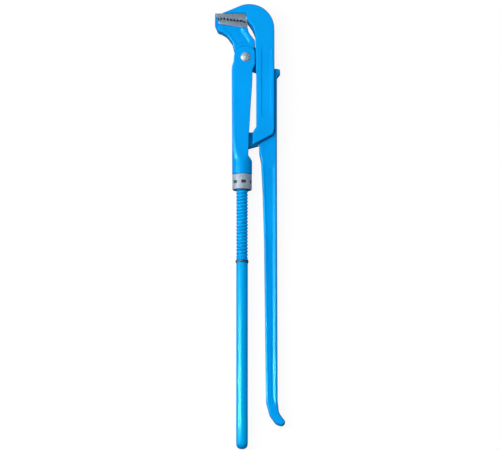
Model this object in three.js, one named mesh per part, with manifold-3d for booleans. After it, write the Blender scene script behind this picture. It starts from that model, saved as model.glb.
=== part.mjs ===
// Lever-type pipe wrench, jaws at ninety degrees to the handles, 500 mm class.
// It lies on its back. While modelling, the pivot rivet is at X = 0, Y = 0; +Y runs to the jaws,
// +Z to the face, and the back rests on Z = 0. All sizes are millimetres.
import * as THREE from "three";
import { mergeVertices } from "three/addons/utils/BufferGeometryUtils.js";
import Module from "manifold-3d";

const wasm = await Module();
wasm.setup();

// ---- driving dimensions ----
const GAP = 0.35; // running clearance between pieces
const AXIS_X = -3.8; // screw axis
const AXIS_Z = 11.2; // mid-plane of the screw and the sheath
const PLATE_TOP = 7.0; // face of the lever's back plate, behind the hook shank
const HANDLE_TOP = 13.4; // face of the long handle
const FACE_TOP = 20.2; // face of the hook
const JAW_BACK = 3.2; // back of both jaws
const EYE_R = 12.9; // round eye of the sheath about the rivet
const EYE_SIDE_X = 10.7; // flat side of the eye, next to the hook shank
const SHANK_LEFT = 11.4;
const SHANK_RIGHT = 32.3;
const RIVET_R = 4.0;
const RIVET_HEAD_R = 5.3;
const SHEATH_BACK = 1.8;
const SHEATH_TOP = 20.6;
const SHEATH_WALL = 2.4;
const SHEATH_CAVITY_TOP = -22;
const SOCKET_R = 11.07;
const SOCKET_END = -131.6;
const NUT_R = 10.4;
const NUT_END = -149.2;
const NUT_SLOT_Y = -141.0;
const NUT_NECK_R = 8.7;
const NUT_NECK_TOP = -122.6;
const RING_Y = -126.4; // wire ring that keeps the nut in the socket
const CREST_R = 6.5; // screw thread
const ROOT_R = 5.6;
const PITCH = 3.75;
const THREAD_START = -108;
const THREAD_END = -226;
const ROD_R = 6.2;
const ROD_END = -439;
const PIN_Y = -94; // pin that joins the hook's arm to the screw
const PIN_R = 2.5;
const ARM_HALF = 3.5;
const TOOTH_PITCH = 3.72;

const DEG = Math.PI / 180;
const ARC_STEP = 15 * DEG;

// ---- helpers ----
// Points of an arc, as outline corners.
function arc(cx, cy, r, from, to, steps) {
  const points = [];
  for (let i = 0; i <= steps; i++) {
    const a = (from + ((to - from) * i) / steps) * DEG;
    points.push([cx + r * Math.cos(a), cy + r * Math.sin(a)]);
  }
  return points;
}

// A closed outline from corners [x, y, fillet radius].
function outline(corners) {
  const points = [];
  corners.forEach(([x, y, r = 0], i) => {
    const corner = new THREE.Vector2(x, y);
    if (r === 0) {
      points.push(corner);
      return;
    }
    const before = corners.at(i - 1);
    const after = corners[(i + 1) % corners.length];
    const u = new THREE.Vector2(before[0] - x, before[1] - y).normalize();
    const v = new THREE.Vector2(after[0] - x, after[1] - y).normalize();
    const half = Math.acos(THREE.MathUtils.clamp(u.dot(v), -1, 1)) / 2;
    const bisector = u.clone().add(v).normalize();
    const centre = corner.clone().addScaledVector(bisector, r / Math.sin(half));
    const start = corner.clone().addScaledVector(u, r / Math.tan(half)).sub(centre);
    const end = corner.clone().addScaledVector(v, r / Math.tan(half)).sub(centre);
    const turn = Math.atan2(start.cross(end), start.dot(end));
    const steps = Math.max(1, Math.ceil(Math.abs(turn) / ARC_STEP));
    for (let k = 0; k <= steps; k++) {
      points.push(start.clone().rotateAround(new THREE.Vector2(), (turn * k) / steps).add(centre));
    }
  });
  return new THREE.Shape(points);
}

function solid(geometry) {
  geometry.deleteAttribute("normal");
  geometry.deleteAttribute("uv");
  const merged = mergeVertices(geometry, 1e-4);
  return new wasm.Manifold(
    new wasm.Mesh({
      numProp: 3,
      vertProperties: new Float32Array(merged.attributes.position.array),
      triVerts: new Uint32Array(merged.index.array),
    }),
  );
}

// A flat plate between two heights, its edges bevelled by `edge`.
function plate(shape, z0, z1, edge = 0) {
  const geometry = new THREE.ExtrudeGeometry(shape, {
    depth: z1 - z0 - 2 * edge,
    bevelEnabled: edge > 0,
    bevelThickness: edge,
    bevelSize: edge,
    bevelOffset: -edge,
    bevelSegments: 1,
    curveSegments: 8,
  });
  geometry.translate(0, 0, z0 + edge);
  return solid(geometry);
}

// A pocket cutter whose walls lean out by `lean` over its depth; `up` opens it towards +Z.
function pocket(shape, floor, depth, lean, up = true) {
  const geometry = new THREE.ExtrudeGeometry(shape, {
    depth: 2,
    bevelEnabled: true,
    bevelThickness: depth,
    bevelSize: lean,
    bevelOffset: -lean,
    bevelSegments: 1,
    curveSegments: 8,
  });
  geometry.translate(0, 0, depth);
  if (!up) {
    geometry.rotateY(Math.PI);
    geometry.translate(0, 0, floor);
  } else {
    geometry.translate(0, 0, floor);
  }
  return solid(geometry);
}

function box(x0, x1, y0, y1, z0, z1) {
  const geometry = new THREE.BoxGeometry(x1 - x0, y1 - y0, z1 - z0);
  geometry.translate((x0 + x1) / 2, (y0 + y1) / 2, (z0 + z1) / 2);
  return solid(geometry);
}

// A solid of revolution about the screw axis; profile points are [radius, y], from low y to high y.
function turned(profile, segments = 32, x = AXIS_X, z = AXIS_Z) {
  const geometry = new THREE.LatheGeometry(
    profile.map(([r, y]) => new THREE.Vector2(r, y)),
    segments,
  );
  geometry.translate(x, 0, z);
  return solid(geometry);
}

// A solid of revolution about an axis along Z; profile points are [radius, z], from low z to high z.
function turnedZ(profile, x, y, segments = 32) {
  const geometry = new THREE.LatheGeometry(
    profile.map(([r, z]) => new THREE.Vector2(r, z)),
    segments,
  );
  geometry.rotateX(Math.PI / 2);
  geometry.translate(x, y, 0);
  return solid(geometry);
}

function rodZ(x, y, r, z0, z1, segments = 32) {
  return turnedZ([[0, z0], [r, z0], [r, z1], [0, z1]], x, y, segments);
}

// A skin through rings of equal point counts, closed by flat ends.
function loft(rings) {
  const n = rings[0].length;
  const positions = rings.flat().flat();
  const index = [];
  for (let r = 0; r + 1 < rings.length; r++) {
    for (let i = 0; i < n; i++) {
      const a = r * n + i;
      const b = r * n + ((i + 1) % n);
      index.push(a, b, a + n, b, b + n, a + n);
    }
  }
  for (let i = 1; i + 1 < n; i++) {
    index.push(0, i + 1, i);
    const last = (rings.length - 1) * n;
    index.push(last, last + i, last + i + 1);
  }
  const geometry = new THREE.BufferGeometry();
  geometry.setAttribute("position", new THREE.Float32BufferAttribute(positions, 3));
  geometry.setIndex(index);
  return solid(geometry);
}

// Section of the sheath at height y: a box with its own corner radius on each side.
function section(y, left, right, back, front, rLeft, rRight) {
  const ring = [];
  const steps = 5;
  const corners = [
    [right, front, rRight, 0],
    [left, front, rLeft, 90],
    [left, back, rLeft, 180],
    [right, back, rRight, 270],
  ];
  for (const [x, z, r, start] of corners) {
    const cx = x > (left + right) / 2 ? x - r : x + r;
    const cz = z > (back + front) / 2 ? z - r : z + r;
    for (let k = 0; k <= steps; k++) {
      const a = (start + (90 * k) / steps) * DEG;
      ring.push([cx + r * Math.cos(a), y, cz + r * Math.sin(a)]);
    }
  }
  return ring;
}

// A threaded rod about the screw axis: rows of a sheared ring follow the helix, then it is cut to length.
function threadedRod(crest, root, yLow, yHigh, segments = 16) {
  const turns = Math.ceil((yHigh - yLow) / PITCH) + 2;
  const base = THREAD_END - PITCH * Math.ceil((THREAD_END - yLow) / PITCH + 2);
  const rowRadii = [root, crest, crest, root];
  const rowSteps = [0.3, 0.5, 0.72, 0.92];
  const positions = [];
  const index = [];
  const rows = [];
  for (let t = 0; t < turns + 2; t++) {
    rowRadii.forEach((r, k) => rows.push([r, base + (t + rowSteps[k]) * PITCH]));
  }
  // Each row is one turn of a helix, so its end meets the start of the row four places on.
  const at = (row, i) => row * (segments + 1) + i;
  for (const [r, y] of rows) {
    for (let i = 0; i <= segments; i++) {
      const a = (2 * Math.PI * i) / segments;
      const rise = (PITCH * i) / segments;
      positions.push(AXIS_X + r * Math.sin(a), y + rise, AXIS_Z + r * Math.cos(a));
    }
  }
  for (let row = 0; row + 1 < rows.length; row++) {
    for (let i = 0; i < segments; i++) {
      const a = at(row, i);
      const b = at(row, i + 1);
      const c = at(row + 1, i + 1);
      const d = at(row + 1, i);
      index.push(a, b, c, a, c, d);
    }
  }
  // The ends: a fan from a point on the axis to the open edge of the skin.
  const bottom = positions.length / 3;
  positions.push(AXIS_X, rows[0][1] - PITCH, AXIS_Z);
  const top = bottom + 1;
  positions.push(AXIS_X, rows[rows.length - 1][1] + 2 * PITCH, AXIS_Z);
  for (let i = 0; i < segments; i++) {
    index.push(bottom, at(0, i + 1), at(0, i));
    index.push(top, at(rows.length - 1, i), at(rows.length - 1, i + 1));
  }
  for (let k = 0; k < 4; k++) {
    index.push(bottom, at(k, 0), at(k + 1, 0));
    const row = rows.length - 1 - k;
    index.push(top, at(row, segments), at(row - 1, segments));
  }
  const geometry = new THREE.BufferGeometry();
  geometry.setAttribute("position", new THREE.Float32BufferAttribute(positions, 3));
  geometry.setIndex(index);
  const raw = solid(geometry);
  const cut = box(AXIS_X - 20, AXIS_X + 20, yLow, yHigh, AXIS_Z - 20, AXIS_Z + 20);
  return raw.intersect(cut);
}

// ---- pieces ----
const group = new THREE.Group();
group.name = "pipe_wrench";

function add(name, made, colour, metalness, roughness) {
  const data = made.getMesh();
  const geometry = new THREE.BufferGeometry();
  const points = new Float32Array(data.numVert * 3);
  for (let i = 0; i < data.numVert; i++) {
    points.set(data.vertProperties.subarray(i * data.numProp, i * data.numProp + 3), i * 3);
  }
  geometry.setAttribute("position", new THREE.BufferAttribute(points, 3));
  geometry.setIndex(new THREE.BufferAttribute(new Uint32Array(data.triVerts), 1));
  geometry.computeVertexNormals();
  const material = new THREE.MeshStandardMaterial({ color: colour, metalness, roughness });
  const mesh = new THREE.Mesh(geometry, material);
  mesh.name = name;
  group.add(mesh);
}

const PAINT = 0x0a8df0;
const STEEL = 0x8c97a1;
const ZINC = 0xb4bcc6;
const BLACK = 0x22333f;

// A toothed face running from `start` for `count` teeth along `angle`; a negative depth points the
// teeth to the right of the travel direction. Each tip is a flat of twice `flat`. Returns corners from
// first root to last root.
function teeth(start, angle, count, depth, flat) {
  const pitch = TOOTH_PITCH;
  const along = [Math.cos(angle * DEG), Math.sin(angle * DEG)];
  const out = [-along[1], along[0]];
  const corners = [];
  for (let i = 0; i < count; i++) {
    const root = i * pitch;
    const tip = root + 0.5 * pitch;
    corners.push([start[0] + along[0] * root, start[1] + along[1] * root]);
    corners.push([
      start[0] + along[0] * (tip - flat) + out[0] * depth,
      start[1] + along[1] * (tip - flat) + out[1] * depth,
    ]);
    corners.push([
      start[0] + along[0] * (tip + flat) + out[0] * depth,
      start[1] + along[1] * (tip + flat) + out[1] * depth,
    ]);
  }
  corners.push([start[0] + along[0] * count * pitch, start[1] + along[1] * count * pitch]);
  return corners;
}

// Lower jaw plate, set on the seat of the lower jaw.
const lowerTeeth = plate(
  outline([
    [-29.3, 38.15],
    [2.3, 33.5],
    [2.3, 38.6],
    [-0.4, 39.0],
    ...teeth([-1.3, 38.2], 171.6, 7, -1.3, 0.5),
    [-28.6, 43.4],
    [-29.3, 43.4],
  ]),
  JAW_BACK + 0.5,
  FACE_TOP - 0.2,
);
add("lower_jaw_teeth", lowerTeeth, STEEL, 0.9, 0.45);

// Upper jaw plate, under the hook; its nose runs past the hook.
const upperTeeth = plate(
  outline([
    [-34.2, 46.6, 0.6],
    ...teeth([-30.8, 46.2], -5.75, 7, -1.9, 0.8),
    [-3.9, 41.9],
    [0.55, 41.7],
    [0.55, 49.85],
    [-34.0, 49.85, 0.6],
  ]),
  JAW_BACK + 0.3,
  FACE_TOP - 0.3,
);
add("upper_jaw_teeth", upperTeeth, STEEL, 0.9, 0.45);

// Long lever: lower jaw and neck, back plate behind the hook shank, flange, handle.
const neckCorners = [
  [-34.2, 46.1, 1.4],
  [-34.2, 36.5, 4],
  [-30.4, 29.6, 2.5],
  [-26.2, 28.3, 3],
  [-20.6, 25.0, 8],
  [-14.4, 16.4, 10],
  [-12.4, 7.6],
  ...arc(0, 0, EYE_R + GAP, 148, 38, 9),
  [10.7, 16.0, 1.2],
  [10.4, 19.6, 3],
  [6.2, 24.8, 6],
  [3.6, 28.8, 5],
  [2.6, 33.15],
  [-29.65, 37.85],
  [-30.4, 42.8],
  [-32.0, 46.1],
];
const neck = plate(outline(neckCorners), JAW_BACK, FACE_TOP + 0.2, 0.8);
const plateCorners = [
  [-17.0, 22.0, 2],
  [-14.4, 16.8, 6],
  [-12.2, 8.0, 4],
  [-12.0, 1.0],
  ...arc(0, 0, 12.0, 190, 265, 6),
  [7.6, -13.4, 3],
  [13.2, -15.2, 3],
  [13.2, -84.0, 6],
  [15.1, -97.0, 3],
  [15.3, -106.5, 8],
  [17.4, -117.5, 20],
  [19.2, -155],
  [20.6, -205],
  [21.4, -277],
  [22.7, -386, 10],
  [26.6, -401, 10],
  [33.8, -411.0, 8],
  [41.0, -413.0, 4],
  [44.4, -408.8, 2.6],
  [36.9, -398.5, 14],
  [35.5, -386],
  [35.2, -230],
  [35.0, -120],
  [35.2, -21.2, 2.5],
  [38.7, -16.6, 2.4],
  [38.6, -11.7, 2.4],
  [33.6, -11.6, 3],
  [24.0, -3.0, 12],
  [12.0, 12.5, 6],
  [4.0, 22.0, 3],
];
// The plan of the whole lever below the neck; its upper layer leaves room for the hook shank.
const leverPlan = outline(plateCorners);
const backPlate = plate(leverPlan, 0, PLATE_TOP, 0.7);
const leverFull = plate(leverPlan, 0, HANDLE_TOP, 1.3);
const shankRoom = plate(
  outline([
    [-60, 60],
    [-60, -99],
    [11.0, -98.3],
    [30.9, -87.6, 3],
    [SHANK_RIGHT + GAP + 0.15, -83.2, 2],
    [SHANK_RIGHT + GAP + 0.05, 60],
  ]),
  PLATE_TOP,
  40,
);
const hub = rodZ(0, 0, EYE_R - 2.0, 0, PLATE_TOP);
let lever = leverFull.subtract(shankRoom).add(backPlate).add(neck).add(hub);
// Sunken webs between raised rims, on both faces of the handle and on the neck.
const handleWeb = [
  [20.4, -121.5, 3],
  [22.4, -190],
  [23.6, -277],
  [24.8, -382],
  [26.6, -391, 2],
  [33.2, -387, 2],
  [33.1, -277],
  [33.1, -124, 3],
];
lever = lever.subtract(pocket(outline(handleWeb), HANDLE_TOP - 2.2, 2.2, 1.5));
lever = lever.subtract(
  pocket(outline(handleWeb.map(([x, y, r]) => [-x, y, r]).reverse()), 2.2, 2.2, 1.5, false),
);
const neckWeb = [
  [-25.0, 32.6, 2.4],
  [-17.8, 26.0],
  [-13.4, 19.6],
  [-10.0, 14.6],
  [-5.6, 15.2],
  [0, 15.8],
  [5.2, 15.2],
  [3.4, 20.0],
  [-2.6, 30.4, 2.4],
];
lever = lever.subtract(pocket(outline(neckWeb), FACE_TOP - 1.4, 1.6, 1.2));
// The lower jaw narrows to its nose.
for (const side of [1, -1]) {
  const mid = (JAW_BACK + FACE_TOP) / 2;
  const wedge = new THREE.Shape([
    new THREE.Vector2(-35.5, mid + 1.0),
    new THREE.Vector2(-34.2, mid + 1.0),
    new THREE.Vector2(-30.6, mid + 9.5),
    new THREE.Vector2(-35.5, mid + 9.5),
  ]);
  const geometry = new THREE.ExtrudeGeometry(wedge, { depth: 30, bevelEnabled: false });
  geometry.rotateX(-Math.PI / 2);
  geometry.translate(0, 24, 0);
  const cutter = solid(geometry);
  // The prism stands along Y; its height axis is turned to Z for each face.
  lever = lever.subtract(side === 1 ? cutter.mirror([0, 0, 1]) : cutter.translate([0, 0, 2 * mid]));
}
const rivetBore = turnedZ(
  [[0, -1], [6.1, -1], [6.1, 0.4], [RIVET_R + 0.15, 2.4], [RIVET_R + 0.15, 30], [0, 30]],
  0,
  0,
);
lever = lever.subtract(rivetBore);
add("long_lever", lever, PAINT, 0.25, 0.38);

// Hook: jaw, crown, shank and the arm that enters the sheath.
const hookCorners = [
  [-26.4, 50.2],
  [0.95, 50.2],
  [0.95, 43.7],
  [8.4, 34.6, 6],
  [10.8, 26.0, 6],
  [SHANK_LEFT, 2.0],
  [SHANK_LEFT + 0.5, -20],
  [SHANK_LEFT + 0.5, -79.2, 2],
  [8.4, -84.2, 2],
  [7.6, -99.5],
  [30.9, -87.0, 4],
  [32.4, -81.0, 4],
  [SHANK_RIGHT, 30.0],
  ...arc(4.2, 32.9, 28, 0, 110, 12),
];
const hookPlan = outline(hookCorners);
const shank = plate(hookPlan, PLATE_TOP + GAP, FACE_TOP, 1.1);
const jawOnly = plate(
  outline([
    [-60, 80],
    [-60, 30],
    [0, 24],
    [40, 24],
    [40, 80],
  ]),
  0,
  30,
);
const thickJaw = plate(hookPlan, JAW_BACK, FACE_TOP, 1.1).intersect(jawOnly);
const arm = plate(
  outline([
    [9.4, -84.4],
    [-10.6, -84.4, 5],
    [-10.6, -103.4, 5],
    [3.6, -102.6],
    [14.3, -99.6],
    [14.3, -90.0],
  ]),
  AXIS_Z - ARM_HALF,
  AXIS_Z + ARM_HALF,
  0.5,
);
let hook = shank.add(thickJaw).add(arm);
hook = hook.subtract(
  pocket(
    outline([
      [17.7, 13.6, 1.2],
      [17.7, -69.0, 1.2],
      [28.4, -69.0, 1.2],
      [28.4, 13.6, 1.2],
    ]),
    FACE_TOP - 0.6,
    0.6,
    0.4,
  ),
);
hook = hook.subtract(rodZ(AXIS_X, PIN_Y, PIN_R + 0.2, 0, 30, 24));
add("hook_jaw", hook, PAINT, 0.25, 0.38);

// Sheath: round eye on the rivet, channel open towards the shank, round socket for the nut.
const sheathPlan = outline([
  [EYE_SIDE_X, 7.2],
  ...arc(0, 0, EYE_R, 36, 176, 12),
  [-13.3, -5.0, 6],
  [-15.0, -9.6, 4],
  [-15.4, -14.0, 6],
  [-14.9, -100],
  [-14.9, -121],
  [7.3, -121],
  [7.2, -116.4, 1],
  [2.9, -111.2, 3],
  [3.3, -104],
  [4.2, -80],
  [6.0, -48.7],
  [7.8, -21.5],
  [7.8, -13.6, 4],
  [EYE_SIDE_X, -8.6, 4],
]);
const sheathSkin = loft([
  section(14, -15.6, 12.0, SHEATH_BACK, SHEATH_TOP, 3.5, 1.5),
  section(-92, -15.4, 12.0, SHEATH_BACK, SHEATH_TOP, 3.8, 1.5),
  section(-104, -15.1, 10.0, 1.2, 21.0, 6.0, 4.0),
  section(-116, -14.87, 7.27, AXIS_Z - SOCKET_R, AXIS_Z + SOCKET_R, SOCKET_R - 0.02, SOCKET_R - 0.02),
  section(SOCKET_END, -14.87, 7.27, AXIS_Z - SOCKET_R, AXIS_Z + SOCKET_R, SOCKET_R - 0.02, SOCKET_R - 0.02),
]);
const sheathTrim = plate(sheathPlan, -1, 30).add(box(-20, 20, -140, -120.5, -1, 30));
let sheath = sheathSkin.intersect(sheathTrim);
sheath = sheath.subtract(box(-30, 30, -19.4, 30, -5, PLATE_TOP + GAP));
sheath = sheath.subtract(
  box(-11.7, 30, -106, SHEATH_CAVITY_TOP, SHEATH_BACK + SHEATH_WALL, SHEATH_TOP - SHEATH_WALL),
);
sheath = sheath.subtract(
  turned([
    [0, SOCKET_END - 1],
    [9.05, SOCKET_END - 1],
    [9.05, RING_Y - 0.9],
    [9.75, RING_Y - 0.9],
    [9.75, RING_Y + 0.9],
    [9.05, RING_Y + 0.9],
    [9.05, NUT_NECK_TOP + 0.4],
    [7.0, NUT_NECK_TOP + 0.4],
    [7.0, -100],
    [0, -100],
  ]),
);
sheath = sheath.subtract(rodZ(0, 0, RIVET_R + 0.2, -1, 30));
add("sheath", sheath, PAINT, 0.25, 0.38);

// Rivet: domed head on the eye, shank through eye and lever, flush tail in the back.
const rivet = turnedZ(
  [
    [0, 0.1],
    [5.6, 0.1],
    [5.6, 0.5],
    [RIVET_R, 2.2],
    [RIVET_R, SHEATH_TOP + 0.15],
    [RIVET_HEAD_R, SHEATH_TOP + 0.15],
    [RIVET_HEAD_R, SHEATH_TOP + 0.7],
    [RIVET_HEAD_R * 0.86, SHEATH_TOP + 1.7],
    [RIVET_HEAD_R * 0.5, SHEATH_TOP + 2.4],
    [0, SHEATH_TOP + 2.6],
  ],
  0,
  0,
);
add("pivot_rivet", rivet, ZINC, 0.9, 0.35);

// Screw handle: clevis head, thread, plain rod with a rounded end.
const thread = threadedRod(CREST_R, ROOT_R, THREAD_END, THREAD_START);
const rod = turned(
  [
    [0, ROD_END],
    [3.6, ROD_END + 0.7],
    [5.5, ROD_END + 2.4],
    [6.35, ROD_END + 5.6],
    [6.35, ROD_END + 26],
    [ROD_R, ROD_END + 40],
    [ROD_R, THREAD_END - 1.5],
    [ROOT_R, THREAD_END + 0.5],
    [0, THREAD_END + 0.5],
  ],
  24,
);
const head = turned(
  [
    [0, THREAD_START - 0.5],
    [ROOT_R, THREAD_START - 0.5],
    [ROOT_R, THREAD_START + 1],
    [6.4, THREAD_START + 2],
    [6.4, PIN_Y + 4.6],
    [5.2, PIN_Y + 6.2],
    [0, PIN_Y + 6.2],
  ],
  24,
);
let screw = thread.add(rod).add(head);
screw = screw.subtract(
  box(-20, 20, PIN_Y - 10.2, PIN_Y + 20, AXIS_Z - ARM_HALF - GAP, AXIS_Z + ARM_HALF + GAP),
);
screw = screw.subtract(rodZ(AXIS_X, PIN_Y, PIN_R + 0.2, -1, 30, 24));
add("screw_handle", screw, PAINT, 0.25, 0.38);

add("link_pin", rodZ(AXIS_X, PIN_Y, PIN_R, AXIS_Z - 5.7, AXIS_Z + 5.7, 24), STEEL, 0.9, 0.4);

// Adjusting nut: slotted ring with a neck in the socket, threaded to the screw.
let nut = turned(
  [
    [0, NUT_END],
    [NUT_R - 0.5, NUT_END],
    [NUT_R, NUT_END + 0.5],
    [NUT_R, SOCKET_END - 0.9],
    [NUT_R - 0.5, SOCKET_END - GAP],
    [NUT_NECK_R, SOCKET_END - GAP],
    [NUT_NECK_R, RING_Y - 0.8],
    [7.9, RING_Y - 0.8],
    [7.9, RING_Y + 0.8],
    [NUT_NECK_R, RING_Y + 0.8],
    [NUT_NECK_R, NUT_NECK_TOP],
    [0, NUT_NECK_TOP],
  ],
  36,
);
for (let i = 0; i < 6; i++) {
  const angle = (i * 60 + 12) * DEG;
  const geometry = new THREE.BoxGeometry(5.6, 3.4, 4);
  geometry.translate(0, NUT_SLOT_Y, NUT_R);
  geometry.rotateY(angle);
  geometry.translate(AXIS_X, 0, AXIS_Z);
  nut = nut.subtract(solid(geometry));
}
nut = nut.subtract(threadedRod(CREST_R + 0.3, ROOT_R + 0.3, NUT_END - 2, NUT_NECK_TOP + 2));
add("adjusting_nut", nut, ZINC, 0.85, 0.42);

// Wire ring in the groove between nut neck and socket, open at one side.
const ring = turned(
  [
    [8.1, RING_Y - 0.6],
    [9.55, RING_Y - 0.6],
    [9.55, RING_Y + 0.6],
    [8.1, RING_Y + 0.6],
    [8.1, RING_Y - 0.6],
  ],
  32,
).subtract(box(AXIS_X - 1.5, AXIS_X + 1.5, RING_Y - 2, RING_Y + 2, -5, AXIS_Z));
add("nut_retaining_ring", ring, STEEL, 0.9, 0.4);

// Dark ring on the rod just under the thread.
const stop = turned(
  [
    [ROD_R + 0.1, -231.6],
    [6.8, -231.6],
    [7.15, -230.9],
    [7.15, -228.9],
    [6.8, -228.2],
    [ROD_R + 0.1, -228.2],
    [ROD_R + 0.1, -231.6],
  ],
  28,
);
add("stop_ring", stop, BLACK, 0.1, 0.6);

// The origin is the middle of the bounding box's floor.
const bounds = new THREE.Box3().setFromObject(group);
const middle = bounds.getCenter(new THREE.Vector3());
for (const mesh of group.children) {
  mesh.geometry.translate(-middle.x, -middle.y, -bounds.min.z);
}

export default group;
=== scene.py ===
import math

import bpy
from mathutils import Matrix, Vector, noise


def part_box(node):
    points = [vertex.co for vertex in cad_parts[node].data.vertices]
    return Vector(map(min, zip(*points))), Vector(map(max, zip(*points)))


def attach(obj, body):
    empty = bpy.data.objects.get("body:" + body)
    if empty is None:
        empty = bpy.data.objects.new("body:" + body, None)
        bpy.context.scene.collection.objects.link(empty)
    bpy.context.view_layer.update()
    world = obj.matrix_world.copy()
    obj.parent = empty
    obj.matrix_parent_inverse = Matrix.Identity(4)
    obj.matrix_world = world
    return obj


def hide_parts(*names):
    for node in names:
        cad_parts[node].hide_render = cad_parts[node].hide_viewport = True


bl_info = {
    "name": "Lever pipe wrench",
    "version": (1, 0, 0),
    "blender": (4, 5, 0),
    "location": "3D View > Sidebar > Pipe wrench",
    "description": "Builds a lever-type pipe wrench on its packed frame, piece by piece",
    "category": "Object",
}

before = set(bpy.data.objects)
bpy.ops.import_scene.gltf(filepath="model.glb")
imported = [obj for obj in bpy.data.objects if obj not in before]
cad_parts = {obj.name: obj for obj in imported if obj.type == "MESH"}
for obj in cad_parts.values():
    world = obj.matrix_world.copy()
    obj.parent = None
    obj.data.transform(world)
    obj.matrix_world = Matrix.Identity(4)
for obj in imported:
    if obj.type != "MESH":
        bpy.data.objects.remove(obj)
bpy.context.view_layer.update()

# Sizes below are millimetres, measured from the rivet's axis; the back of the tool is at height 0.
MM = 0.001
RIVET_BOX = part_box("pivot_rivet")
RIVET_X = (RIVET_BOX[0].x + RIVET_BOX[1].x) / 2 / MM
RIVET_Y = (RIVET_BOX[0].y + RIVET_BOX[1].y) / 2 / MM

GAP = 0.35
AXIS_X = -3.8
AXIS_Z = 11.2
PLATE_TOP = 7.0
HANDLE_TOP = 13.4
FACE_TOP = 20.2
JAW_BACK = 3.2
EYE_R = 12.9
EYE_SIDE_X = 10.7
SHANK_LEFT = 11.4
SHANK_RIGHT = 32.3
RIVET_R = 4.0
RIVET_HEAD_R = 5.3
SHEATH_BACK = 1.8
SHEATH_TOP = 20.6
SHEATH_WALL = 2.4
SHEATH_CAVITY_TOP = -22.0
SOCKET_R = 11.07
SOCKET_END = -131.6
NUT_R = 10.8
NUT_END = -149.2
NUT_SLOT_Y = -141.0
NUT_NECK_R = 8.7
NUT_NECK_TOP = -122.6
RING_Y = -126.4
CREST_R = 6.5
PITCH = 3.75
THREAD_START = -108.0
THREAD_END = -226.0
ROD_R = 6.4
ROD_END = -439.0
PIN_Y = -94.0
PIN_R = 2.5
ARM_HALF = 3.5
TOOTH_PITCH = 3.72
EYE_GAP = 0.1
ARM_Y = PIN_Y + 10
# Colour of the painted shade in the nut's slots and on its end face.
SHADE_DARK = (0.03, 0.035, 0.045)
BELOW_BACK = -0.2
STRIP_SIZE = (0.08, 2.6)


# ---- outlines and solids ----
def arc(cx, cy, r, start, end, steps):
    """Points of an arc, angles in degrees."""
    angles = [math.radians(start + (end - start) * i / steps) for i in range(steps + 1)]
    return [(cx + r * math.cos(a), cy + r * math.sin(a)) for a in angles]


def outline(corners, step=math.radians(7)):
    """Closed outline from corners (x, y) or (x, y, fillet radius), turned counter-clockwise."""
    points = []
    count = len(corners)
    for i, corner in enumerate(corners):
        at = Vector(corner[:2])
        r = corner[2] if len(corner) > 2 else 0
        if r == 0:
            points.append(at)
            continue
        u = (Vector(corners[i - 1][:2]) - at).normalized()
        v = (Vector(corners[(i + 1) % count][:2]) - at).normalized()
        half = math.acos(max(-1.0, min(1.0, u.dot(v)))) / 2
        centre = at + (u + v).normalized() * (r / math.sin(half))
        start = at + u * (r / math.tan(half)) - centre
        end = at + v * (r / math.tan(half)) - centre
        turn = math.atan2(start.x * end.y - start.y * end.x, start.dot(end))
        steps = max(1, math.ceil(abs(turn) / step))
        for k in range(steps + 1):
            a = turn * k / steps
            c, s = math.cos(a), math.sin(a)
            points.append(centre + Vector((start.x * c - start.y * s, start.x * s + start.y * c)))
    area = sum(
        points[i - 1].x * points[i].y - points[i].x * points[i - 1].y for i in range(len(points))
    )
    return points if area > 0 else points[::-1]


def inset(points, distance):
    """The outline moved inwards by a distance, with mitred corners."""
    if distance == 0:
        return points
    count = len(points)
    moved = []
    for i, p in enumerate(points):
        before = (p - points[i - 1]).normalized()
        after = (points[(i + 1) % count] - p).normalized()
        n1 = Vector((-before.y, before.x))
        n2 = Vector((-after.y, after.x))
        reach = (n1 + n2) / max(0.35, 1 + n1.dot(n2))
        moved.append(p + reach * distance)
    return moved


def skin(rings, closed=False):
    """Mesh through rings of equal point counts, capped at both ends or closed on itself."""
    n = len(rings[0])
    vertices = [p for ring in rings for p in ring]
    faces = []
    last = len(rings) if closed else len(rings) - 1
    for r in range(last):
        a, b = r * n, ((r + 1) % len(rings)) * n
        faces += [(a + i, a + (i + 1) % n, b + (i + 1) % n, b + i) for i in range(n)]
    if not closed:
        faces.append(tuple(range(n))[::-1])
        faces.append(tuple(range((len(rings) - 1) * n, len(rings) * n)))
    mesh = bpy.data.meshes.new("solid")
    mesh.from_pydata(vertices, [], faces)
    mesh.validate()
    return mesh


def plate(corners, low, high, edge=0.0, steps=3):
    """Plate between two heights with rounded rims."""
    points = outline(corners)
    lower = [(0.0, low)]
    if edge:
        angles = [math.pi / 2 * k / steps for k in range(steps + 1)]
        lower = [(edge * (1 - math.sin(a)), low + edge * (1 - math.cos(a))) for a in angles]
    upper = [(d, high - (z - low)) for d, z in reversed(lower)]
    return skin([[(p.x, p.y, z) for p in inset(points, d)] for d, z in lower + upper])


def sunk(corners, face, back=None):
    """Cutter for a web whose floor lies at its own depth under each corner; `back` mirrors it."""
    rings = [
        [(fx, fy, face - depth) for _, _, fx, fy, depth in corners],
        [(x, y, face + 0.02) for x, y, *_ in corners],
        [(x, y, face + 4) for x, y, *_ in corners],
    ]
    if back is not None:
        rings = [[(x, y, back - z) for x, y, z in ring] for ring in rings]
    area = sum(a[0] * b[1] - b[0] * a[1] for a, b in zip(rings[1], rings[1][1:] + rings[1][:1]))
    return skin(rings if (area > 0) == (back is None) else rings[::-1])


def block(x0, x1, y0, y1, z0, z1):
    corners = [(x0, y0), (x1, y0), (x1, y1), (x0, y1)]
    return skin([[(x, y, z) for x, y in corners] for z in (z0, z1)])


def round_ring(r, y, angles):
    """Ring of points about the screw axis."""
    return [(AXIS_X + r * math.sin(a), y, AXIS_Z + r * math.cos(a)) for a in angles]


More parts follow.
